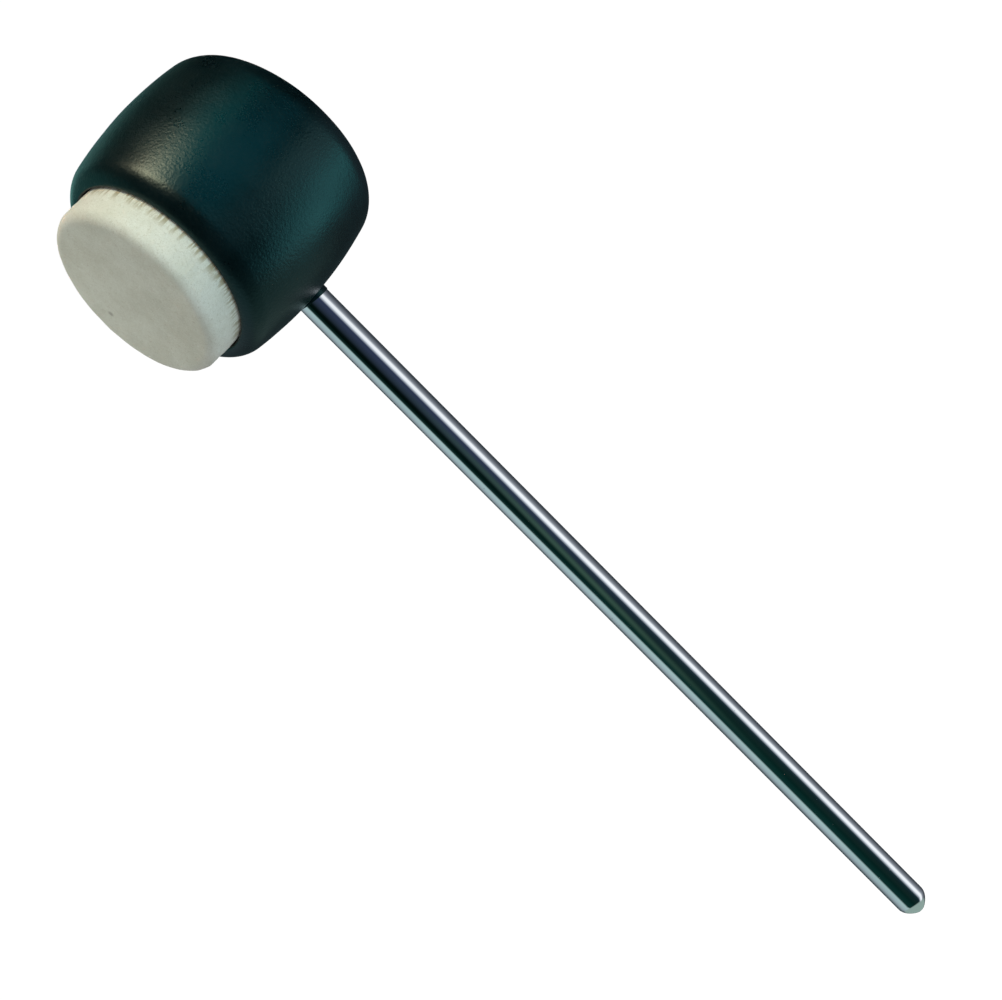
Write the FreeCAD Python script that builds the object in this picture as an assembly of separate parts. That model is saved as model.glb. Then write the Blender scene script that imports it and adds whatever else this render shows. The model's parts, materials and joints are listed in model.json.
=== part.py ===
import FreeCAD, Part
import math
import os
from FreeCAD import Vector

# Bass drum beater, in millimetres. Z runs up the shaft and the felt faces -Y.
# The origin is on the shaft's axis, at the height where a pedal's clamp grips it.

# Shaft: chrome-plated round bar with a domed free end
shaft_diameter = 8.0
clamp_to_tip = 40.0
clamp_to_head = 210.0
tip_height = 3.4
tip_end_diameter = 2.6
tip_end_crown = 0.25
tip_side_radius = 8.0

# Shaft inside the head: a turned seat from the shell's underside up, a shoulder, then the thread
seat_step = 0.25
thread_diameter = 6.0
thread_pitch = 1.0
thread_depth = 0.6
thread_beyond_nut = 2.0
head_end_chamfer = 0.7

# Shell: barrel about the striking axis, which crosses the shaft at right angles
barrel_radius = 31.0
barrel_crown_radius = 101.0
barrel_crown_forward = 0.7
shell_front = 23.3
shell_back = 28.5
back_dome_radius = 68.0
back_round = 8.4
rim_round = 6.0
shell_wall = 3.4
smallest_round = 0.5
face_tilt = 3.5
back_tilt = 2.4

# Felt disc in its pocket
rim_width = 6.9
felt_thickness = 13.0
felt_pocket_depth = 3.8
felt_edge_round = 1.4
felt_above_axis = 0.4
felt_clearance = 0.3

# Backing plate behind the felt
plate_thickness = 3.0
plate_clearance = 0.5

# Core: stiff moulded cup with an upright hub for the shaft
core_clearance = 0.15
core_wall = 2.6
core_flange = 3.0
plate_on_flange = 3.4
hub_diameter = 17.0
hub_top = 8.0
shoulder_depth_in_hub = 10.0
web_thickness = 3.0
web_top_below_hub_top = 2.0
bore_clearance = 0.08
shell_hole_clearance = 0.1

# Fasteners in the core
washer_outer = 12.0
washer_thickness = 1.6
spring_washer_outer = 11.6
spring_washer_thickness = 1.6
spring_washer_gap = 1.2
spring_washer_slant = 25.0
nut_flats = 10.0
nut_height = 5.0
nut_chamfer = 0.8
nut_chamfer_angle = 30.0
hole_on_thread_clearance = 0.1
pin_diameter = 3.0
pin_wall = 0.5
pin_slot = 0.8
pin_below_shoulder = 7.0
pin_clearance = 0.05
pin_end_recess = 0.2

# Screws through the backing plate
screw_to_plate_edge = 6.9
screw_angles = (30.0, 150.0, 270.0)
screw_length = 12.0
screw_diameter = 3.5
screw_head_diameter = 6.8
screw_pitch = 1.4
screw_thread_depth = 0.45
screw_point = 2.4
screw_head_sink = 0.2
screw_hole_beyond_point = 0.5
recess_width = 0.9
recess_span = 3.8
recess_depth = 1.3
screw_clearance = 0.1
boss_diameter = 7.0
boss_length = 10.0

# Worked out from the sizes above
shaft_radius = shaft_diameter / 2
seat_radius = shaft_radius - seat_step
head_z = clamp_to_head
tip_z = -clamp_to_tip
core_inset = shell_wall + core_clearance
felt_radius = barrel_radius - rim_width
pocket_radius = felt_radius + felt_clearance
plate_radius = pocket_radius - plate_clearance
core_mouth_radius = plate_radius - plate_on_flange
screw_circle_radius = plate_radius - screw_to_plate_edge
thread_hole_radius = thread_diameter / 2 + hole_on_thread_clearance
seat_depth = felt_pocket_depth + plate_thickness
cavity_depth = seat_depth - core_clearance
shoulder_z = head_z + hub_top - shoulder_depth_in_hub
step_z = head_z - barrel_radius
washer_z = head_z + hub_top
spring_washer_z = washer_z + washer_thickness
nut_z = spring_washer_z + spring_washer_thickness
thread_end_z = nut_z + nut_height + thread_beyond_nut
pin_z = shoulder_z - pin_below_shoulder
screw_hole_end = felt_pocket_depth + screw_length + screw_hole_beyond_point
large = 4 * barrel_radius

X = Vector(1, 0, 0)
Y = Vector(0, 1, 0)
Z = Vector(0, 0, 1)
HEAD = Vector(0, 0, head_z)


def face_frame():
    """Placement whose y = 0 plane is the rim's plane; -y leaves the head along the felt's normal."""
    centre = Vector(0, -shell_front, head_z + felt_above_axis)
    return FreeCAD.Placement(centre, FreeCAD.Rotation(X, -face_tilt))


def on_face(shape):
    shape.Placement = face_frame().multiply(shape.Placement)
    return shape


def rod_along_y(radius, y_from, y_to, x=0.0, z=0.0):
    return Part.makeCylinder(radius, y_to - y_from, Vector(x, y_from, z), Y)


def upright(radius, z_from, z_to):
    return Part.makeCylinder(radius, z_to - z_from, Vector(0, 0, z_from), Z)


def turned(points, axis_base, axis):
    """Solid of revolution of a closed outline of straight edges."""
    wire = Part.makePolygon(points + points[:1])
    return Part.Face(wire).revolve(axis_base, axis, 360)


def bulged(start, stop, radius):
    """Arc between two points of an upright outline, bulging away from the shaft's axis and down."""
    chord = stop - start
    bulge = radius - math.sqrt(radius ** 2 - (chord.Length / 2) ** 2)
    outward = Vector(chord.z, 0, -chord.x).normalize()
    return Part.Arc(start, (start + stop) * 0.5 + outward * bulge, stop).toShape()


def barrel(inset, front_depth, round_rim):
    """Barrel of the shell, moved inwards by inset and cut off front_depth behind the rim's plane."""
    crown = barrel_crown_radius - inset
    crown_centre = Vector(0, -barrel_crown_forward, head_z + barrel_radius - barrel_crown_radius)
    half = shell_front + shell_back
    rise = math.sqrt(crown ** 2 - half ** 2)
    front = crown_centre + Vector(0, -half, rise)
    back = crown_centre + Vector(0, half, rise)
    top = crown_centre + Vector(0, 0, crown)
    arc = Part.Arc(front, top, back).toShape()
    back_foot = Vector(0, back.y, head_z)
    front_foot = Vector(0, front.y, head_z)
    sides = Part.makePolygon([back, back_foot, front_foot, front])
    solid = Part.Face(Part.Wire([arc] + sides.Edges)).revolve(HEAD, Y, 360)

    dome = back_dome_radius - inset
    dome_centre = Vector(0, shell_back - back_dome_radius, 0)
    dome_centre = FreeCAD.Rotation(X, -back_tilt).multVec(dome_centre) + HEAD
    solid = solid.common(Part.makeSphere(dome, dome_centre))

    front_cut = Part.makeBox(2 * large, large, 2 * large, Vector(-large, front_depth - large, -large))
    solid = solid.cut(on_face(front_cut))

    rings = [edge for edge in solid.Edges if edge.isClosed() and edge.Length > barrel_radius]
    rear = max(rings, key=lambda edge: edge.CenterOfMass.y)
    solid = solid.makeFillet(max(back_round - inset, smallest_round), [rear])
    if round_rim:
        rings = [edge for edge in solid.Edges if edge.isClosed() and edge.Length > barrel_radius]
        rim = min(rings, key=lambda edge: edge.CenterOfMass.y)
        solid = solid.makeFillet(rim_round, [rim])
    return solid


def make_shaft():
    """Domed bar up to the shell, then the seat in the hub, the shoulder and the grooved thread."""
    end = Vector(0, 0, tip_z)
    foot = Vector(tip_end_diameter / 2, 0, tip_z + tip_end_crown)
    side = Vector(shaft_radius, 0, tip_z + tip_height)
    end_radius = (foot.x ** 2 + tip_end_crown ** 2) / (2 * tip_end_crown)
    dome = [bulged(end, foot, end_radius), bulged(foot, side, tip_side_radius)]

    thread = thread_diameter / 2
    outline = [side, Vector(shaft_radius, 0, step_z), Vector(seat_radius, 0, step_z),
               Vector(seat_radius, 0, shoulder_z), Vector(thread, 0, shoulder_z)]
    groove_z = washer_z
    while groove_z < thread_end_z - head_end_chamfer - thread_pitch:
        outline.append(Vector(thread, 0, groove_z))
        outline.append(Vector(thread - thread_depth, 0, groove_z + thread_pitch / 2))
        groove_z += thread_pitch
    outline.append(Vector(thread, 0, groove_z))
    outline.append(Vector(thread, 0, thread_end_z - head_end_chamfer))
    outline.append(Vector(thread - head_end_chamfer, 0, thread_end_z))
    outline.append(Vector(0, 0, thread_end_z))
    outline.append(end)
    wire = Part.Wire(dome + Part.makePolygon(outline).Edges)
    shaft = Part.Face(wire).revolve(Vector(0, 0, 0), Z, 360)
    return shaft.cut(rod_along_y(pin_diameter / 2 + pin_clearance, -large, large, z=pin_z))


def make_shell():
    """Rubber moulding: hollow barrel, open in front for the felt and below for the shaft."""
    shell = barrel(0, 0, True).cut(barrel(shell_wall, cavity_depth, False))
    shell = shell.cut(on_face(rod_along_y(pocket_radius, -large, seat_depth)))
    return shell.cut(upright(seat_radius + shell_hole_clearance, head_z - large, head_z))


def make_core():
    """Cup that fills the shell's hollow, with a flange in front, a hub, webs and screw bosses."""
    outside = barrel(core_inset, seat_depth, False)
    inside = barrel(core_inset + core_wall, seat_depth + core_flange, False)
    mouth = on_face(rod_along_y(core_mouth_radius, -large, seat_depth + 2 * core_flange))
    cup = outside.cut(inside).cut(mouth)

    hub = upright(hub_diameter / 2, head_z - large, head_z + hub_top)
    web_height = hub_top - web_top_below_hub_top + large
    web = web_thickness / 2
    rear_web = Part.makeBox(web_thickness, large, web_height, Vector(-web, 0, head_z - large))
    side_web = Part.makeBox(2 * large, web_thickness, web_height, Vector(-large, -web, head_z - large))
    inner = [hub, rear_web, side_web]
    for angle in screw_angles:
        boss = rod_along_y(boss_diameter / 2, seat_depth, seat_depth + boss_length, x=screw_circle_radius)
        rib = Part.makeBox(large, boss_length, web_thickness, Vector(screw_circle_radius, seat_depth, -web))
        boss = boss.fuse(rib)
        boss.rotate(Vector(0, 0, 0), Y, -angle)
        inner.append(on_face(boss))
    core = cup
    for piece in inner:
        core = core.fuse(piece.common(outside))

    seat_bore = upright(seat_radius + bore_clearance, head_z - large, shoulder_z)
    thread_bore = upright(thread_hole_radius, shoulder_z, head_z + large)
    pin_hole = rod_along_y(pin_diameter / 2 + pin_clearance, -hub_diameter, hub_diameter / 2, z=pin_z)
    for hole in (seat_bore, thread_bore, pin_hole):
        core = core.cut(hole)
    for angle in screw_angles:
        hole = rod_along_y(screw_diameter / 2 + screw_clearance, 0, screw_hole_end, x=screw_circle_radius)
        hole.rotate(Vector(0, 0, 0), Y, -angle)
        core = core.cut(on_face(hole))
    return core


def make_flat_washer():
    ring = upright(washer_outer / 2, washer_z, washer_z + washer_thickness)
    return ring.cut(upright(thread_hole_radius, washer_z, washer_z + large))


def make_spring_washer():
    """Split ring, flattened as it is when the nut is tight."""
    top = spring_washer_z + spring_washer_thickness
    ring = upright(spring_washer_outer / 2, spring_washer_z, top)
    ring = ring.cut(upright(thread_hole_radius, spring_washer_z, top))
    reach = 3 * spring_washer_thickness
    slot = Part.makeBox(large, spring_washer_gap, 2 * reach, Vector(0, -spring_washer_gap / 2, -reach))
    slot.rotate(Vector(0, 0, 0), X, spring_washer_slant)
    slot.translate(Vector(0, 0, spring_washer_z + spring_washer_thickness / 2))
    return ring.cut(slot)


def make_nut():
    """Hexagon nut with its corners turned off at both ends."""
    corner = nut_flats / math.sqrt(3)
    foot = Vector(0, 0, nut_z)
    ring = [foot + FreeCAD.Rotation(Z, 60 * i).multVec(X * corner) for i in range(7)]
    prism = Part.Face(Part.makePolygon(ring)).extrude(Z * nut_height)
    slope = nut_chamfer * math.tan(math.radians(nut_chamfer_angle))
    top = nut_z + nut_height
    outline = [foot, Vector(corner - nut_chamfer, 0, nut_z), Vector(corner, 0, nut_z + slope),
               Vector(corner, 0, top - slope), Vector(corner - nut_chamfer, 0, top), Vector(0, 0, top)]
    nut = prism.common(turned(outline, Vector(0, 0, 0), Z))
    return nut.cut(upright(thread_hole_radius, nut_z, nut_z + nut_height))


def make_anti_turn_pin():
    """Slotted spring pin across the hub and the shaft's seat."""
    half = hub_diameter / 2 - pin_end_recess
    pin = rod_along_y(pin_diameter / 2, -half, half, z=pin_z)
    pin = pin.cut(rod_along_y(pin_diameter / 2 - pin_wall, -half, half, z=pin_z))
    slot = Part.makeBox(pin_slot, 2 * half, pin_diameter, Vector(-pin_slot / 2, -half, pin_z))
    return pin.cut(slot)


def make_felt():
    """Pressed felt disc, its front edge a little rounded."""
    front = felt_pocket_depth - felt_thickness
    disc = rod_along_y(felt_radius, front, felt_pocket_depth)
    edge = min((e for e in disc.Edges if e.isClosed()), key=lambda e: e.CenterOfMass.y)
    return on_face(disc.makeFillet(felt_edge_round, [edge]))


def screw_outline():
    """Countersunk head, grooved shank and point, as one outline from the head's face down."""
    head = screw_head_diameter / 2
    shank = screw_diameter / 2
    y = felt_pocket_depth + screw_head_sink
    outline = [Vector(0, y, 0), Vector(head, y, 0), Vector(shank, y + head - shank, 0)]
    groove = y + head - shank + screw_pitch / 2
    point = felt_pocket_depth + screw_length - screw_point
    while groove + screw_pitch < point:
        outline.append(Vector(shank, groove, 0))
        outline.append(Vector(shank - screw_thread_depth, groove + screw_pitch / 2, 0))
        groove += screw_pitch
    outline.append(Vector(shank, groove, 0))
    outline.append(Vector(shank - screw_thread_depth, point, 0))
    outline.append(Vector(0, point + screw_point, 0))
    return outline


def make_screws():
    """Three alike countersunk screws, a cross recess in each head."""
    screws = []
    for angle in screw_angles:
        screw = turned(screw_outline(), Vector(0, 0, 0), Y)
        recess_y = felt_pocket_depth + screw_head_sink
        for turn in (0, 90):
            bar = Part.makeBox(recess_span, recess_depth, recess_width,
                               Vector(-recess_span / 2, recess_y, -recess_width / 2))
            bar.rotate(Vector(0, 0, 0), Y, turn)
            screw = screw.cut(bar)
        screw.translate(Vector(screw_circle_radius, 0, 0))
        screw.rotate(Vector(0, 0, 0), Y, -angle)
        screws.append(on_face(screw))
    return Part.makeCompound(screws)


def make_backing_plate():
    """Stiff disc that closes the core's mouth, countersunk for the screws."""
    plate = rod_along_y(plate_radius, felt_pocket_depth, seat_depth)
    head = screw_head_diameter / 2 + screw_clearance
    shank = screw_diameter / 2 + screw_clearance
    sink = felt_pocket_depth + screw_head_sink
    for angle in screw_angles:
        hole = turned([Vector(0, sink - 1, 0), Vector(head, sink - 1, 0), Vector(head, sink, 0),
                       Vector(shank, sink + head - shank, 0), Vector(shank, seat_depth + 1, 0),
                       Vector(0, seat_depth + 1, 0)], Vector(0, 0, 0), Y)
        hole.translate(Vector(screw_circle_radius, 0, 0))
        hole.rotate(Vector(0, 0, 0), Y, -angle)
        plate = plate.cut(hole)
    return on_face(plate)


os.makedirs("parts", exist_ok=True)
pieces = {
    "shaft": make_shaft,
    "rubber_shell": make_shell,
    "core": make_core,
    "flat_washer": make_flat_washer,
    "spring_washer": make_spring_washer,
    "shaft_nut": make_nut,
    "anti_turn_pin": make_anti_turn_pin,
    "backing_plate": make_backing_plate,
    "backing_plate_screws": make_screws,
    "felt_disc": make_felt,
}
for name, make in pieces.items():
    shape = make()
    shape.exportStep("parts/" + name + ".step")
    print(name, "valid", shape.isValid(), "solids", len(shape.Solids), "volume", round(shape.Volume, 1))
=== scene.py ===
import json
import math

import bmesh
import bpy
from mathutils import Matrix, Quaternion, Vector, noise


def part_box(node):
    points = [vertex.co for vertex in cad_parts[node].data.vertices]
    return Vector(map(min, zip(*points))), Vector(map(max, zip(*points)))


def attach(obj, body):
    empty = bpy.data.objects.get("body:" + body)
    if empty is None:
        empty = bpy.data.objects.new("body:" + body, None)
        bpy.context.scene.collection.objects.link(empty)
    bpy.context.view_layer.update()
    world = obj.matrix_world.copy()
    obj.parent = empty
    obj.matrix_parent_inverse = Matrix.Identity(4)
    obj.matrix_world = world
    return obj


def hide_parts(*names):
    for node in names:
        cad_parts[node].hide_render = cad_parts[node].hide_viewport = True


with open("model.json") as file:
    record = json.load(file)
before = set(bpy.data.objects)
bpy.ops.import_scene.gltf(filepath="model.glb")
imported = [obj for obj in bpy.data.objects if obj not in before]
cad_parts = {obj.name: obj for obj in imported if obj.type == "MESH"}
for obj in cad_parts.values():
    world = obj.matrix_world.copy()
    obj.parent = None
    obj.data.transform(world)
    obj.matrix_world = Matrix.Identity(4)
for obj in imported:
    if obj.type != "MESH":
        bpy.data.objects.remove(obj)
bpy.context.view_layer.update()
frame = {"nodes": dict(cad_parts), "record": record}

# Shaft: a round steel bar, ground and chrome plated, with a domed free end. Above the shell's underside
# it is turned down to a seat, cross-drilled for the anti-turn pin, and threaded for the nut.
shaft_low, shaft_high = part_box("shaft")
shell_low, shell_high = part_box("rubber_shell")
pin_low, pin_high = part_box("anti_turn_pin")
washer_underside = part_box("flat_washer")[0].z
head_z = (shell_low.z + shell_high.z) / 2
bar_radius = (shaft_high.x - shaft_low.x) / 2
bar_segments = 128
bar_runs = 12
tip_height = 0.0034
tip_end_radius = 0.0013
tip_end_crown = 0.00025
tip_side_radius = 0.008
tip_easing = 0.0036
seat_radius = bar_radius - 0.00025
shoulder_z = head_z - 0.002
thread_radius = 0.003
thread_depth = 0.0006
thread_pitch = 0.001
thread_chamfer = 0.0007
pin_hole_radius = (pin_high.x - pin_low.x) / 2 + 0.00005


def arc(outline, start, centre, angle, steps, axis=(1, 0, 0)):
    """Carries an outline on from one of its points along an arc, and returns the arc's last point."""
    turned = bmesh.ops.spin(outline, geom=[start], cent=centre, axis=axis, dvec=(0, 0, 0),
                            angle=angle, steps=steps, use_merge=False)
    return next(v for v in turned["geom_last"] if isinstance(v, bmesh.types.BMVert))


def angle_of(p, centre):
    return math.atan2(p.z - centre.z, p.y - centre.y)


def arc_to(outline, start, end, centre, steps):
    """Carries an outline on along an arc about centre, as far as the direction of end."""
    angle = angle_of(end, centre) - angle_of(start.co, centre)
    angle = (angle + math.pi) % (2 * math.pi) - math.pi
    return arc(outline, start, centre, angle, steps)


def line(outline, start, to):
    """Carries an outline on in a straight line, and returns its new last point."""
    end = bmesh.ops.extrude_vert_indiv(outline, verts=[start])["verts"][0]
    end.co = to
    return end


def lathe(outline, axis, segments):
    """Turns an outline a full round about an axis through the origin into a closed skin."""
    bmesh.ops.spin(outline, geom=outline.verts[:] + outline.edges[:], cent=(0, 0, 0), axis=axis,
                   dvec=(0, 0, 0), angle=2 * math.pi, steps=segments, use_merge=True)
    bmesh.ops.remove_doubles(outline, verts=outline.verts, dist=2e-6)
    bmesh.ops.recalc_face_normals(outline, faces=outline.faces)


bar = bmesh.new()
point = bar.verts.new((0, 0, shaft_low.z))
end_radius = (tip_end_radius ** 2 + tip_end_crown ** 2) / (2 * tip_end_crown)
dome_edge = Vector((0, tip_end_radius, shaft_low.z + tip_end_crown))
bar_edge = Vector((0, bar_radius, shaft_low.z + tip_height))
chord = bar_edge - dome_edge
side_centre = ((dome_edge + bar_edge) / 2 + Vector((0, -chord.z, chord.y)).normalized()
               * math.sqrt(tip_side_radius ** 2 - chord.length_squared / 4))
easing_centre = Vector((0, bar_radius - tip_easing, side_centre.z - math.sqrt(
    (tip_side_radius - tip_easing) ** 2 - (bar_radius - tip_easing - side_centre.y) ** 2)))
side_end = side_centre + (easing_centre - side_centre).normalized() * tip_side_radius
point = arc_to(bar, point, dome_edge, Vector((0, 0, shaft_low.z + end_radius)), 6)
point = arc_to(bar, point, side_end, side_centre, 14)
point = arc_to(bar, point, Vector((0, bar_radius, easing_centre.z)), easing_centre, 10)
for step in range(1, bar_runs + 1):
    height = easing_centre.z + (shell_low.z - easing_centre.z) * step / bar_runs
    point = line(bar, point, (0, bar_radius, height))
for radius, height in ((seat_radius, shell_low.z), (seat_radius, shoulder_z), (thread_radius, shoulder_z)):
    point = line(bar, point, (0, radius, height))
height = washer_underside
while height < shaft_high.z - thread_chamfer - thread_pitch:
    point = line(bar, point, (0, thread_radius, height))
    point = line(bar, point, (0, thread_radius - thread_depth, height + thread_pitch / 2))
    height += thread_pitch
for radius, height in ((thread_radius, height), (thread_radius, shaft_high.z - thread_chamfer),
                       (thread_radius - thread_chamfer, shaft_high.z), (0, shaft_high.z)):
    point = line(bar, point, (0, radius, height))
lathe(bar, (0, 0, 1), bar_segments)


class Shade:
    """One socket of a material's nodes. Arithmetic on it adds a Math node."""

    def __init__(self, tree, socket=None):
        self.tree = tree
        self.socket = socket

    def node(self, kind, settings=None, inputs=None, output=0):
        """Adds any node: its settings come first, then a value or a link for each input named or numbered."""
        made = self.tree.nodes.new(kind)
        for name, value in (settings or {}).items():
            if name == "stops":
                ramp = made.color_ramp.elements
                while len(ramp) < len(value):
                    ramp.new(0.5)
                for stop, (position, colour) in zip(ramp, value):
                    stop.position = position
                    stop.color = (*colour, 1)
            else:
                setattr(made, name, value)
        for name, value in (inputs or {}).items():
            if isinstance(value, Shade):
                self.tree.links.new(value.socket, made.inputs[name])
            else:
                made.inputs[name].default_value = value
        return Shade(self.tree, made.outputs[output])

    def sum_of(self, operation, a, b):
        return self.node("ShaderNodeMath", {"operation": operation}, {0: a, 1: b})

    def __add__(self, other):
        return self.sum_of("ADD", self, other)

    def __radd__(self, other):
        return self.sum_of("ADD", other, self)

    def __sub__(self, other):
        return self.sum_of("SUBTRACT", self, other)

    def __rsub__(self, other):
        return self.sum_of("SUBTRACT", other, self)

    def __mul__(self, other):
        return self.sum_of("MULTIPLY", self, other)

    def __rmul__(self, other):
        return self.sum_of("MULTIPLY", other, self)

    def __truediv__(self, other):
        return self.sum_of("DIVIDE", self, other)

    def __rtruediv__(self, other):
        return self.sum_of("DIVIDE", other, self)

    def __pow__(self, other):
        return self.sum_of("POWER", self, other)

    def __gt__(self, other):
        return self.sum_of("GREATER_THAN", self, other)

    def __lt__(self, other):
        return self.sum_of("LESS_THAN", self, other)

    def range(self, low, high, to_low=0.0, to_high=1.0):
        """This value carried from low..high to to_low..to_high, held at both ends and eased between them."""
        return self.node("ShaderNodeMapRange", {"interpolation_type": "SMOOTHSTEP"},
                         {"Value": self, "From Min": low, "From Max": high,
                          "To Min": to_low, "To Max": to_high})

    def colours(self, a, b):
        """Colour a where this value is 0 and b where it is 1."""
        a = (*a, 1) if isinstance(a, tuple) else a
        b = (*b, 1) if isinstance(b, tuple) else b
        return self.node("ShaderNodeMix", {"data_type": "RGBA"}, {0: self, 6: a, 7: b}, output=2)


def new_material(name):
    """An empty node material, and a Shade to build it with."""
    material = bpy.data.materials.new(name)
    material.use_nodes = True
    material.node_tree.nodes.clear()
    return material, Shade(material.node_tree)


def finish_material(shade, surface, output="ShaderNodeOutputMaterial"):
    out = shade.tree.nodes.new(output)
    shade.tree.links.new(surface.socket, out.inputs["Surface"])


chrome, shade = new_material("chrome_plate")
place = shade.node("ShaderNodeTexCoord", output="Object")
turning = shade.node("ShaderNodeMapping", None, {"Vector": place, "Scale": (60, 60, 9000)})
drawn = shade.node("ShaderNodeMapping", None, {"Vector": place, "Scale": (2500, 2500, 14)})
lines = shade.node("ShaderNodeTexNoise", None, {"Vector": turning, "Scale": 1.0, "Detail": 2})
streaks = shade.node("ShaderNodeTexNoise", None, {"Vector": drawn, "Scale": 1.0, "Detail": 3})
haze = shade.node("ShaderNodeTexNoise", None, {"Vector": place, "Scale": 45.0, "Detail": 4})
specks = shade.node("ShaderNodeTexVoronoi", None, {"Vector": place, "Scale": 260.0, "Randomness": 1.0})
speck = specks.range(0.06, 0.03)
tone = haze.range(0.3, 0.7).colours((0.74, 0.76, 0.77), (0.84, 0.85, 0.86))
tone = (speck * 0.5).colours(tone, (0.35, 0.36, 0.36))
bump = shade.node("ShaderNodeBump", None, {"Strength": 0.04, "Distance": 0.00002,
                                           "Height": lines * 0.6 + streaks * 0.4 - speck * 2.0})
finish_material(shade, shade.node("ShaderNodeBsdfPrincipled", None, {
    "Base Color": tone, "Metallic": 1.0, "Normal": bump,
    "Roughness": haze.range(0.35, 0.75, 0.05, 0.09) + speck * 0.3 + streaks.range(0.62, 0.8) * 0.06}))


def new_piece(name, mesh, material):
    """A bmesh as an object at the origin, with its material."""
    data = bpy.data.meshes.new(name)
    mesh.to_mesh(data)
    mesh.free()
    piece = bpy.data.objects.new(name, data)
    piece.data.materials.append(material)
    bpy.context.scene.collection.objects.link(piece)
    return piece


def settled(piece):
    """Makes a piece's modifiers part of its mesh, and clears the slivers that cutting leaves."""
    depsgraph = bpy.context.evaluated_depsgraph_get()
    mesh = bpy.data.meshes.new_from_object(piece.evaluated_get(depsgraph))
    piece.modifiers.clear()
    piece.data = mesh
    cleaned = bmesh.new()
    cleaned.from_mesh(mesh)
    bmesh.ops.remove_doubles(cleaned, verts=cleaned.verts, dist=3e-6)
    bmesh.ops.dissolve_degenerate(cleaned, edges=cleaned.edges, dist=1e-6)
    cleaned.to_mesh(mesh)
    cleaned.free()


def combine(piece, other, operation):
    """Cuts a closed bmesh out of a piece, or makes it one with the piece."""
    tool = new_piece("tool", other, piece.data.materials[0])
    cut = piece.modifiers.new("cut", "BOOLEAN")
    cut.operation = operation
    cut.solver = "EXACT"
    cut.object = tool
    bpy.context.view_layer.update()
    settled(piece)
    bpy.data.objects.remove(tool)


def smooth_but_sharp(piece, degrees):
    """Smooth shading, with edges that turn by more than this angle kept crisp."""
    for face in piece.data.polygons:
        face.use_smooth = True
    piece.data.set_sharp_from_angle(angle=math.radians(degrees))


shaft = new_piece("chromed_shaft", bar, chrome)
drill = bmesh.new()
pin_z = (pin_low.z + pin_high.z) / 2
bmesh.ops.create_cone(drill, cap_ends=True, segments=48, depth=4 * bar_radius,
                      radius1=pin_hole_radius, radius2=pin_hole_radius,
                      matrix=Matrix.Translation((0, 0, pin_z)) @ Matrix.Rotation(math.pi / 2, 4, "X"))
combine(shaft, drill, "DIFFERENCE")
smooth_but_sharp(shaft, 25)
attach(shaft, "root")
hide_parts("shaft")

# Shell: one hollow moulding of black rubber, barrel-shaped about the striking axis, with a rolled rim
# round the felt and a domed back. Its surface has the fine, slightly uneven grain of the mould, and a
# small lip of it grips the shaft.
felt_low, felt_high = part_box("felt_disc")
felt_radius = (felt_high.x - felt_low.x) / 2
barrel_radius = (shell_high.x - shell_low.x) / 2
striking_face = next(m for m in frame["record"]["mounts"] if m["name"] == "striking_face")
face_centre = Vector(striking_face["pos_m"])
face_normal = Vector(striking_face["axis"])
face_tilt = math.atan2(face_normal.z, -face_normal.y)
shell_segments = 176
crown_radius = 0.101
crown_forward = 0.0007
rim_y = -0.0233
rim_round = 0.006
mouth_round = 0.0005
back_y = 0.0285
back_round = 0.0084
back_droop = -0.02
dome_radius = 0.068
dome_rise = 0.00165
wall = 0.0034
pocket_radius = felt_radius + 0.0003
pocket_depth = 0.00665
pocket_above_axis = 0.0004
mould_unevenness = 0.00008
unevenness_size = 0.011
shaft_hole_radius = seat_radius + 0.0001
lip_inner = bar_radius + 0.00003
lip_outer = bar_radius + 0.00020
lip_length = 0.0008
lip_slant = 0.12
lip_root = 0.001
crown_centre = Vector((0, -crown_forward, barrel_radius - crown_radius))
dome_centre = Vector((0, back_y - dome_radius, 0))


def crown_height(y, inset=0.0):
    """Radius of the barrel at this depth, moved inwards by inset."""
    return crown_centre.z + math.sqrt((crown_radius - inset) ** 2 - (y - crown_centre.y) ** 2)


def meeting(a, radius_a, b, radius_b):
    """Upper crossing point of two circles in the outline's plane."""
    between = b - a
    along = (radius_a ** 2 - radius_b ** 2 + between.length_squared) / (2 * between.length)
    across = math.sqrt(radius_a ** 2 - along ** 2)
    sideways = Vector((0, -between.z, between.y)) / between.length
    points = [a + between * along / between.length + sideways * across * s for s in (1, -1)]
    return max(points, key=lambda p: p.z)


def back_outline(outline, point, inset, steps, from_pole):
    """The crown, the rear round and the dome at one depth of the wall, from the pole or towards it."""
    crown = crown_radius - inset
    dome = dome_radius - inset
    rear = back_round - inset
    rear_centre = meeting(crown_centre, crown - rear, dome_centre, dome - rear)
    on_crown = crown_centre + (rear_centre - crown_centre).normalized() * crown
    on_dome = dome_centre + (rear_centre - dome_centre).normalized() * dome
    pole = Vector((0, dome_centre.y + dome, 0))
    if from_pole:
        point = arc_to(outline, point, on_dome, dome_centre, steps)
        return arc_to(outline, point, on_crown, rear_centre, steps // 2)
    point = arc_to(outline, point, on_crown, crown_centre, steps)
    point = arc_to(outline, point, on_dome, rear_centre, steps // 2)
    return arc_to(outline, point, pole, dome_centre, steps)


rim_centre = Vector((0, rim_y + rim_round, crown_height(rim_y + rim_round, rim_round)))
rim_on_crown = crown_centre + (rim_centre - crown_centre).normalized() * crown_radius
mouth_centre = Vector((0, 0, pocket_radius + mouth_round))
mouth_centre.y = rim_centre.y - math.sqrt((rim_round - mouth_round) ** 2
                                          - (mouth_centre.z - rim_centre.z) ** 2)
rim_at_mouth = rim_centre + (mouth_centre - rim_centre).normalized() * rim_round
pocket_floor = rim_y + pocket_depth
pocket_steps = 6

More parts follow.
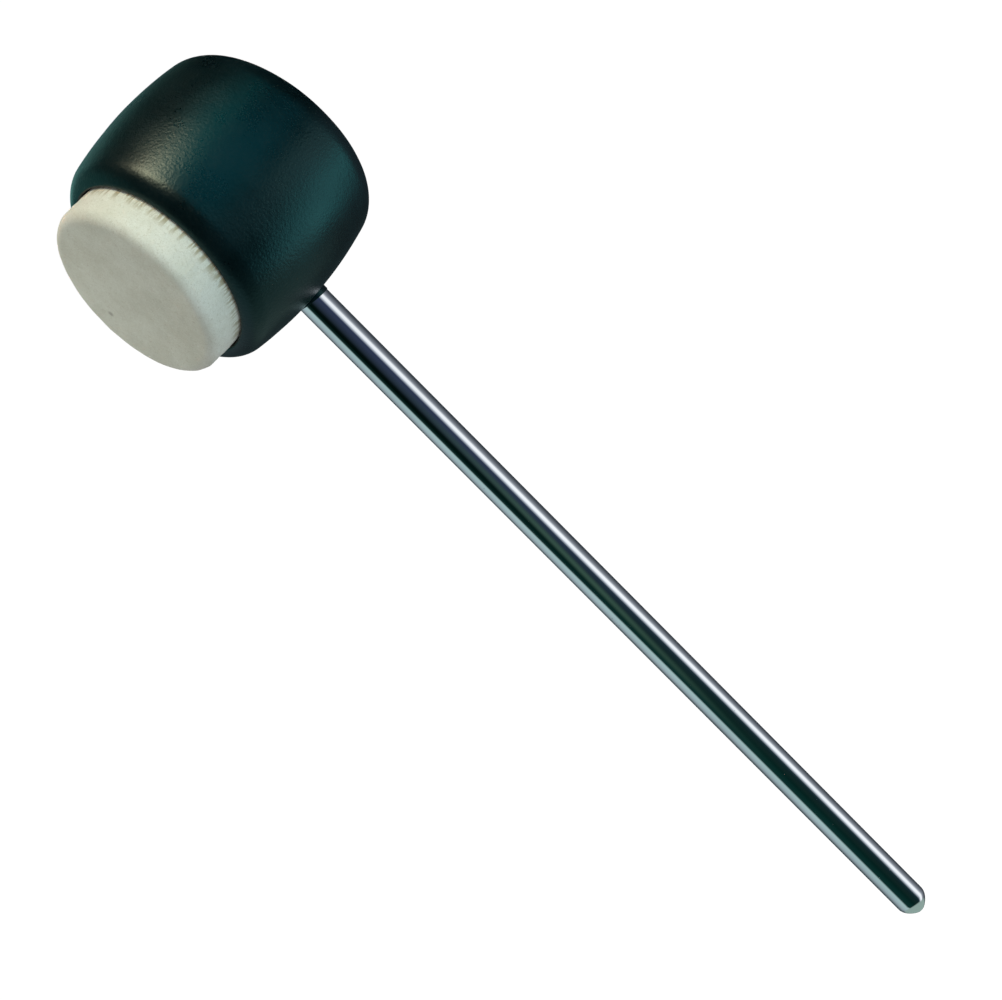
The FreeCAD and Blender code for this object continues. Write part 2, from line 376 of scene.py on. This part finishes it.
skin = bmesh.new()
point = skin.verts.new((0, dome_centre.y + dome_radius, 0))
point = back_outline(skin, point, 0, 26, True)
point = arc_to(skin, point, rim_on_crown, crown_centre, 30)
point = arc_to(skin, point, rim_at_mouth, rim_centre, 14)
point = arc_to(skin, point, Vector((0, mouth_centre.y, pocket_radius)), mouth_centre, 4)
for step in range(1, pocket_steps + 1):
    depth = mouth_centre.y + (pocket_floor - mouth_centre.y) * step / pocket_steps
    point = line(skin, point, (0, depth, pocket_radius))
point = line(skin, point, (0, pocket_floor, crown_height(pocket_floor, wall)))
point = back_outline(skin, point, wall, 20, False)
lathe(skin, (0, 1, 0), shell_segments)


def eased(value, low, high):
    """0 below low, 1 above high, and a smooth step between them."""
    share = min(max((value - low) / (high - low), 0), 1)
    return share * share * (3 - 2 * share)


# The front leans with the felt, the outer skin's back droops a little, and the shell goes up to its place.
for vertex in skin.verts:
    x, y, z = vertex.co
    radius = math.hypot(x, z)
    front = 1 - eased(y, -0.012, 0.004)
    back = eased(y, 0.004, 0.02)
    on_skin = (radius > crown_height(y, wall / 2)
               or (vertex.co - dome_centre).length > dome_radius - wall / 2)
    back_lean = back_droop if on_skin else dome_rise / dome_radius
    lean = math.tan(face_tilt) * (z - pocket_above_axis) * front + back_lean * z * back
    outer = eased(radius, pocket_radius + mouth_round, 0.028)
    grow = (crown_height(y + lean) - crown_height(y)) * front * outer
    spread = 1 + grow / max(radius, 0.001)
    vertex.co = (x * spread, y + lean, z * spread + pocket_above_axis * front * (1 - outer) + head_z)
bmesh.ops.recalc_face_normals(skin, faces=skin.faces)
skin.normal_update()
for vertex in skin.verts:
    vertex.co += vertex.normal * mould_unevenness * noise.noise(vertex.co / unevenness_size)

rubber, shade = new_material("black_rubber")
place = shade.node("ShaderNodeTexCoord", output="Object")
grain = shade.node("ShaderNodeTexNoise", None, {"Vector": place, "Scale": 1900.0, "Detail": 3,
                                                "Roughness": 0.6})
pores = shade.node("ShaderNodeTexVoronoi", {"feature": "SMOOTH_F1"}, {"Vector": place, "Scale": 1300.0})
cloud = shade.node("ShaderNodeTexNoise", None, {"Vector": place, "Scale": 90.0, "Detail": 4})
tone = cloud.range(0.3, 0.7).colours((0.0008, 0.0034, 0.0044), (0.0018, 0.0060, 0.0076))
tone = (grain.range(0.45, 0.7) * 0.5).colours(tone, (0.0028, 0.0086, 0.0104))
bump = shade.node("ShaderNodeBump", None, {"Strength": 1.0, "Distance": 0.00009,
                                           "Height": grain * 0.6 + pores * 0.4})
finish_material(shade, shade.node("ShaderNodeBsdfPrincipled", None, {
    "Base Color": tone, "Normal": bump, "Roughness": cloud.range(0.3, 0.7, 0.23, 0.31) + grain * 0.07,
    "Specular IOR Level": 0.33, "Specular Tint": (0.38, 1.0, 1.0, 1)}))

shell = new_piece("moulded_shell", skin, rubber)
hole = bmesh.new()
bmesh.ops.create_cone(hole, cap_ends=True, segments=96, depth=0.02,
                      radius1=shaft_hole_radius, radius2=shaft_hole_radius,
                      matrix=Matrix.Translation((0, 0, shell_low.z)))
combine(shell, hole, "DIFFERENCE")
lip = bmesh.new()
point = lip.verts.new((0, lip_inner, shell_low.z + lip_root))
point = line(lip, point, (0, lip_inner, shell_low.z - lip_length))
point = arc(lip, point, (0, (lip_inner + lip_outer) / 2, shell_low.z - lip_length), math.pi, 8)
point = line(lip, point, (0, lip_outer, shell_low.z + lip_root))
point = line(lip, point, (0, lip_inner, shell_low.z + lip_root))
lathe(lip, (0, 0, 1), 96)
for vertex in lip.verts:
    if vertex.co.z < shell_low.z:
        vertex.co.z -= lip_slant * vertex.co.y
combine(shell, lip, "UNION")
smooth_but_sharp(shell, 35)
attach(shell, "root")
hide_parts("rubber_shell")

# Felt: a thick disc punched from pressed wool felt and glued into the shell's pocket. Its struck face is
# flat and slightly dirty, its front edge is worn round, and its cut side is woolly, most of all at the rubber.
felt_front = 0.0092
felt_back = 0.0038
felt_edge_round = 0.0028
felt_segments = 400
felt_lumps = 0.00010
lump_size = 0.0035
felt_fluff = 0.00007
fluff_size = 0.0008
back_steps = 8
side_steps = 34
face_steps = 64
rim_plane = face_centre - face_normal * felt_front
placement = Matrix.Translation(rim_plane) @ Matrix.Rotation(-face_tilt, 4, "X")
flat_radius = felt_radius - felt_edge_round

disc = bmesh.new()
point = disc.verts.new((0, felt_back, 0))
for step in range(1, back_steps + 1):
    point = line(disc, point, (0, felt_back, felt_radius * step / back_steps))
for step in range(1, side_steps + 1):
    depth = felt_back + (-felt_front + felt_edge_round - felt_back) * step / side_steps
    point = line(disc, point, (0, depth, felt_radius))
point = arc_to(disc, point, Vector((0, -felt_front, flat_radius)),
               Vector((0, -felt_front + felt_edge_round, flat_radius)), 8)
for step in range(1, face_steps + 1):
    point = line(disc, point, (0, -felt_front, flat_radius * (1 - step / face_steps)))
lathe(disc, (0, 1, 0), felt_segments)
disc.normal_update()
for vertex in disc.verts:
    x, y, z = vertex.co
    proud = 1 - eased(y, -0.0016, 0.0)
    side = eased(math.hypot(x, z), felt_radius - 0.0012, felt_radius - 0.0002) * proud
    coarse = noise.noise(vertex.co / lump_size)
    finest = noise.noise(vertex.co / (fluff_size / 2) + Vector((7, 3, 1)))
    fine = noise.noise(vertex.co / fluff_size) + 0.6 * finest
    vertex.co += vertex.normal * (felt_lumps * coarse + felt_fluff * fine * (0.35 + 0.9 * side)) * proud
bmesh.ops.transform(disc, matrix=placement, verts=disc.verts)

wool, shade = new_material("pressed_wool")
place = shade.node("ShaderNodeTexCoord", output="Object")
local = shade.node("ShaderNodeMapping", {"vector_type": "TEXTURE"},
                   {"Vector": place, "Location": rim_plane, "Rotation": (-face_tilt, 0, 0)})
depth = shade.node("ShaderNodeSeparateXYZ", None, {0: local}, output="Y") * -1000
from_axis = shade.node("ShaderNodeMapping", None, {"Vector": local, "Scale": (1000, 0, 1000)})
reach = shade.node("ShaderNodeVectorMath", {"operation": "LENGTH"}, {0: from_axis}, output="Value")
mottle = shade.node("ShaderNodeTexNoise", None, {"Vector": place, "Scale": 110.0, "Detail": 5,
                                                 "Roughness": 0.6})
fibres = shade.node("ShaderNodeTexNoise", None, {"Vector": place, "Scale": 1900.0, "Detail": 4,
                                                 "Roughness": 0.7, "Distortion": 1.5})
combed = shade.node("ShaderNodeMapping", None, {"Vector": local, "Scale": (1000, 110, 1000)})
strands = shade.node("ShaderNodeTexNoise", None, {"Vector": combed, "Scale": 1.0, "Detail": 3,
                                                  "Distortion": 0.4})
face_tone = mottle.range(0.3, 0.7).colours((0.55, 0.57, 0.47), (0.63, 0.66, 0.56))
# The cut side is a lighter, lit copy of the face's wool: painted light on the side.
lit_side_tone = mottle.range(0.3, 0.7).colours((0.63, 0.63, 0.55), (0.71, 0.71, 0.64))
on_side = reach.range(20.8, 23.9)
tone = on_side.colours(face_tone, lit_side_tone)
tone = (fibres.range(0.5, 0.72) * 0.55).colours(tone, (0.36, 0.33, 0.24))
tone = (fibres.range(0.46, 0.28) * 0.5).colours(tone, (0.82, 0.84, 0.80))
scuff_centre = placement @ Vector((-0.0153, -felt_front, -0.0013))
scuffed = shade.node("ShaderNodeVectorMath", {"operation": "DISTANCE"}, {0: place, 1: scuff_centre},
                     output="Value")
tone = (scuffed.range(0.0011, 0.0003) * mottle.range(0.35, 0.55) * 0.6).colours(tone, (0.20, 0.19, 0.15))
# Painted shade with some dirt: brown streaks on the cut side, strongest within 3 mm of the rubber, stand in
# for the shade between the fibre tufts where the felt meets the shell.
fringe_shade_and_dirt = depth.range(3.0, 0.3) * strands.range(0.45, 0.59) * on_side
tone = (fringe_shade_and_dirt * 0.75).colours(tone, (0.31, 0.26, 0.14))
bump = shade.node("ShaderNodeBump", None, {"Strength": 0.8, "Distance": 0.00012,
                                           "Height": fibres * 0.7 + strands * on_side * 0.8})
finish_material(shade, shade.node("ShaderNodeBsdfPrincipled", None, {
    "Base Color": tone, "Roughness": 0.95, "Normal": bump, "Specular IOR Level": 0.15,
    "Sheen Weight": 0.25, "Sheen Roughness": 0.5}))

felt = new_piece("felt_pad", disc, wool)
smooth_but_sharp(felt, 60)
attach(felt, "root")
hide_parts("felt_disc")


# Core: a stiff hub of glass-filled plastic, moulded first and held inside the rubber. It takes the shaft
# and the felt's plate. The pieces inside the head are out of sight, so each keeps its CAD shape.
def inner_finish(names, material):
    """Gives CAD pieces a finish of their own."""
    for name in names:
        for slot in frame["nodes"][name].material_slots:
            slot.material = material


filled, shade = new_material("glass_filled_plastic")
place = shade.node("ShaderNodeTexCoord", output="Object")
flow = shade.node("ShaderNodeTexNoise", None, {"Vector": place, "Scale": 140.0, "Detail": 4,
                                               "Distortion": 2.0})
flecks = shade.node("ShaderNodeTexNoise", None, {"Vector": place, "Scale": 2400.0, "Detail": 2})
tone = flow.range(0.3, 0.7).colours((0.040, 0.040, 0.044), (0.060, 0.060, 0.066))
tone = (flecks.range(0.60, 0.72) * 0.6).colours(tone, (0.12, 0.12, 0.12))
bump = shade.node("ShaderNodeBump", None, {"Strength": 0.5, "Distance": 0.00004, "Height": flecks})
finish_material(shade, shade.node("ShaderNodeBsdfPrincipled", None, {
    "Base Color": tone, "Normal": bump, "Roughness": flow.range(0.3, 0.7, 0.45, 0.60)}))
inner_finish(["core"], filled)

# Backing plate: a moulded plastic disc that closes the core's front, with the felt glued to it.
plate, shade = new_material("plate_plastic")
place = shade.node("ShaderNodeTexCoord", output="Object")
flow = shade.node("ShaderNodeTexNoise", None, {"Vector": place, "Scale": 90.0, "Detail": 4,
                                               "Distortion": 1.5})
texture = shade.node("ShaderNodeTexNoise", None, {"Vector": place, "Scale": 3000.0, "Detail": 2})
tone = flow.range(0.3, 0.7).colours((0.58, 0.56, 0.51), (0.66, 0.64, 0.60))
bump = shade.node("ShaderNodeBump", None, {"Strength": 0.3, "Distance": 0.00003, "Height": texture})
finish_material(shade, shade.node("ShaderNodeBsdfPrincipled", None, {
    "Base Color": tone, "Normal": bump, "Roughness": flow.range(0.3, 0.7, 0.40, 0.52)}))
inner_finish(["backing_plate"], plate)

# Washers, nut, pin and screws: zinc-plated steel hardware. The nut and washers clamp the core on the shaft,
# the slotted pin keeps it from turning, and three screws hold the backing plate.
zinc, shade = new_material("zinc_plated_steel")
place = shade.node("ShaderNodeTexCoord", output="Object")
spangle = shade.node("ShaderNodeTexVoronoi", None, {"Vector": place, "Scale": 1400.0})
dulling = shade.node("ShaderNodeTexNoise", None, {"Vector": place, "Scale": 300.0, "Detail": 4})
tone = dulling.range(0.3, 0.7).colours((0.50, 0.51, 0.53), (0.66, 0.67, 0.68))
bump = shade.node("ShaderNodeBump", None, {"Strength": 0.2, "Distance": 0.00003, "Height": spangle})
finish_material(shade, shade.node("ShaderNodeBsdfPrincipled", None, {
    "Base Color": tone, "Normal": bump, "Metallic": 1.0, "Roughness": dulling.range(0.3, 0.7, 0.28, 0.42)}))
inner_finish(["flat_washer", "spring_washer", "shaft_nut", "anti_turn_pin", "backing_plate_screws"], zinc)

# Studio, not part of the beater: a pale floor well below the tip, in a white surround.
floor_drop = 0.50
floor_size = 30.0
floor_colour = (0.8, 0.8, 0.8)
floor_glow = 0.7
surround_strength = 0.42
floor_z = shaft_low.z - floor_drop


def seen_directly(shade):
    """1 for rays that show the background: straight from the camera, off metal or through glass."""
    seen = shade.node("ShaderNodeLightPath", output="Is Camera Ray")
    for kind in ("Is Glossy Ray", "Is Transmission Ray"):
        seen = shade.sum_of("MAXIMUM", seen, shade.node("ShaderNodeLightPath", output=kind))
    return seen


world = bpy.data.worlds.new("white_surround")
world.use_nodes = True
world.node_tree.nodes.clear()
shade = Shade(world.node_tree)
strength = seen_directly(shade) * (1 - surround_strength) + surround_strength
finish_material(shade, shade.node("ShaderNodeBackground", None, {"Color": (1, 1, 1, 1), "Strength": strength}),
                "ShaderNodeOutputWorld")
bpy.context.scene.world = world

floor_material, shade = new_material("pale_floor")
paint = shade.node("ShaderNodeBsdfDiffuse", None, {"Color": (*floor_colour, 1)})
glow = shade.node("ShaderNodeEmission", None, {"Color": (1, 1, 1, 1),
                                               "Strength": seen_directly(shade) * floor_glow})
finish_material(shade, shade.node("ShaderNodeAddShader", None, {0: paint, 1: glow}))
floor_mesh = bmesh.new()
bmesh.ops.create_grid(floor_mesh, x_segments=1, y_segments=1, size=floor_size,
                      matrix=Matrix.Translation((0, 0, floor_z)))
new_piece("floor", floor_mesh, floor_material)

# Tent: a round lining about the beater that only reflections see. It is dark towards the camera and pale
# behind the beater, which gives the chrome its bands; patches on its ceiling and upper wall light the rubber.
tent_radius = 0.85
tent_low = floor_z + 0.01
tent_high = 1.0
tent_segments = 96
band_lean = 10.0
band_level = -0.13
foot_turn = 6.0
skin_deep = 0.002

lining, shade = new_material("tent_lining")
place = shade.node("ShaderNodeTexCoord", output="Object")
place_x, place_y, place_z = (shade.node("ShaderNodeSeparateXYZ", None, {0: place}, output=axis)
                             for axis in "XYZ")
bearing = shade.sum_of("ARCTAN2", place_y, place_x) * (180 / math.pi)
turn = bearing + (place_z - band_level) * band_lean - place_z.range(-0.12, -0.24) * foot_turn
turn = (turn + 180) / 360


def ring(stops):
    """Colours round the tent: pairs of a bearing from +X towards +Y, in degrees, and a colour."""
    return shade.node("ShaderNodeValToRGB", {"stops": [((a + 180) / 360, c) for a, c in stops]}, {0: turn})


def near(value, centre, reach):
    """1 where a value is at the centre of a range, and 0 outside it."""
    away = shade.sum_of("ABSOLUTE", value - centre, 0)
    return away.range(reach, 0.0)


def spot(centre_x, centre_y, edge, core):
    """A soft round patch on the floor or ceiling of the tent: 1 inside its core, and 0 past its edge."""
    away_x = place_x - centre_x
    away_y = place_y - centre_y
    return ((away_x * away_x + away_y * away_y) ** 0.5).range(edge, core)


pale = [(-180, (0.06, 0.09, 0.10)), (-165, (0.14, 0.18, 0.20)), (-148, (0.29, 0.37, 0.40)),
        (-128, (0.38, 0.51, 0.54)), (-102, (0.42, 0.60, 0.60))]
dark_low = [(-90, (0.005, 0.034, 0.031)), (-62, (0.003, 0.026, 0.023)), (-45, (0.002, 0.018, 0.016)),
            (-26, (0.006, 0.022, 0.020)), (-8, (0.006, 0.020, 0.022)), (9, (0.012, 0.034, 0.046))]
dark_high = [(-92, (0.006, 0.022, 0.020)), (-70, (0.000, 0.004, 0.003)), (-55, (0.002, 0.006, 0.006)),
             (-34, (0.020, 0.032, 0.052)), (-8, (0.032, 0.046, 0.090)), (9, (0.030, 0.044, 0.095))]
bright = [(20, (0.45, 0.50, 0.56)), (29, (1.00, 1.05, 1.12)), (45, (1.15, 1.18, 1.2)),
          (53, (0.62, 0.66, 0.72)), (62, (0.28, 0.31, 0.36)), (76, (0.18, 0.20, 0.23)),
          (98, (0.07, 0.08, 0.10)), (125, (0.03, 0.045, 0.05)), (180, (0.06, 0.09, 0.10))]
ring_low = ring(pale + dark_low + bright)
ring_high = ring(pale + dark_high + bright)
bands = place_z.range(-0.26, -0.02).colours(ring_low, ring_high)
green_streak = near(bearing + (place_z + 0.15) * -120, -38, 30) * near(place_z, -0.15, 0.15)
bands = (green_streak * 0.8).colours(bands, (0.050, 0.110, 0.080))
upper = near(bearing, -150, 50).colours((0.003, 0.007, 0.009), (0.12, 0.38, 0.35))
upper = near(bearing, 180, 42).colours(upper, (0.30, 0.76, 0.70))
upper = (near(bearing, 22, 46) * place_z.range(0.05, 0.4)).colours(upper, (0.08, 0.80, 1.05))
upper = (near(bearing, 58, 20) * place_z.range(0.70, 0.95)).colours(upper, (0.10, 1.20, 1.25))
painted = place_z.range(0.05, 0.16).colours(bands, upper)
tent_floor = spot(-0.15, -0.12, 0.60, 0.42).colours(ring_low, (0.31, 0.43, 0.39))
painted = (place_z < tent_low + skin_deep).colours(painted, tent_floor)
ceiling = spot(0.52, 0.30, 0.56, 0.15).colours((0.002, 0.006, 0.007), (0.10, 1.40, 1.45))
ceiling = spot(0.28, -0.04, 0.32, 0.05).colours(ceiling, (42.0, 18.5, 12.5))
painted = (place_z > tent_high - skin_deep).colours(painted, ceiling)
finish_material(shade, shade.node("ShaderNodeEmission", None, {"Color": painted, "Strength": 1.0}))

tent_mesh = bmesh.new()
bmesh.ops.create_cone(tent_mesh, cap_ends=True, segments=tent_segments,
                      radius1=tent_radius, radius2=tent_radius, depth=tent_high - tent_low,
                      matrix=Matrix.Translation((0, 0, (tent_low + tent_high) / 2)))
tent = new_piece("tent", tent_mesh, lining)
tent.visible_camera = False
tent.visible_diffuse = False
tent.visible_shadow = False
tent.visible_transmission = False
tent.visible_volume_scatter = False


# Lamps: soft boxes above, to the right and close to the felt's face, none of which shows as a reflection,
# and a low teal one from behind that reaches the shell alone.
def direction_to(azimuth, elevation):
    """Unit vector at an azimuth, counted from +X towards +Y, and an elevation, both in degrees."""
    azimuth = math.radians(azimuth)
    elevation = math.radians(elevation)
    level = math.cos(elevation)
    return Vector((math.cos(azimuth) * level, math.sin(azimuth) * level, math.sin(elevation)))


def soft_box(name, target, azimuth, elevation, distance, side, radiance, colour):
    """A square lamp that faces a target from this direction."""
    direction = direction_to(azimuth, elevation)
    data = bpy.data.lights.new(name, "AREA")
    data.shape = "SQUARE"
    data.size = side
    data.energy = radiance * math.pi * side * side
    data.color = colour
    lamp = bpy.data.objects.new(name, data)
    lamp.location = target + direction * distance
    lamp.rotation_mode = "QUATERNION"
    lamp.rotation_quaternion = (-direction).to_track_quat("-Z", "Y")
    bpy.context.scene.collection.objects.link(lamp)
    return lamp


head_middle = Vector((0, 0, head_z))
key_lamp = soft_box("key_lamp", head_middle, 12, 65, 0.70, 0.35, 6.8, (1.0, 0.91, 0.61))
side_lamp = soft_box("side_lamp", head_middle, 5, 5, 0.80, 0.50, 3.3, (0.64, 1.0, 1.12))
face_lamp = soft_box("face_lamp", face_centre, -150, 12, 0.17, 0.06, 8.0, (1.0, 0.99, 0.93))
kicker = soft_box("kicker", head_middle, 52, -46, 0.72, 0.42, 1.15, (0.04, 0.95, 1.0))
key_lamp.visible_glossy = False
side_lamp.visible_glossy = False
face_lamp.visible_glossy = False
face_lamp.visible_camera = False
kicker.visible_camera = False
kicker_reach = bpy.data.collections.new("kicker_reach")
kicker_reach.objects.link(shell)
kicker.light_linking.receiver_collection = kicker_reach

# Camera: a long lens that looks down on the beater from the right, rolled so that the shaft runs from the
# top left of the picture to the bottom right.
camera_azimuth = 63.996 - 90
camera_elevation = 14.008
camera_roll = -44.908
camera_distance = 0.8548
camera_aim = Vector((0.0199, -0.01204, 0.11716))
camera_lens = 131.27
towards_camera = direction_to(camera_azimuth, camera_elevation)
camera_data = bpy.data.cameras.new("camera")
camera_data.sensor_width = 36
camera_data.lens = camera_lens
camera = bpy.data.objects.new("camera", camera_data)
camera.rotation_mode = "QUATERNION"
camera.location = camera_aim + towards_camera * camera_distance
camera.rotation_quaternion = ((-towards_camera).to_track_quat("-Z", "Y")
                              @ Quaternion((0, 0, 1), math.radians(camera_roll)))
bpy.context.scene.collection.objects.link(camera)
bpy.context.scene.camera = camera
bpy.context.scene.view_settings.view_transform = "Standard"
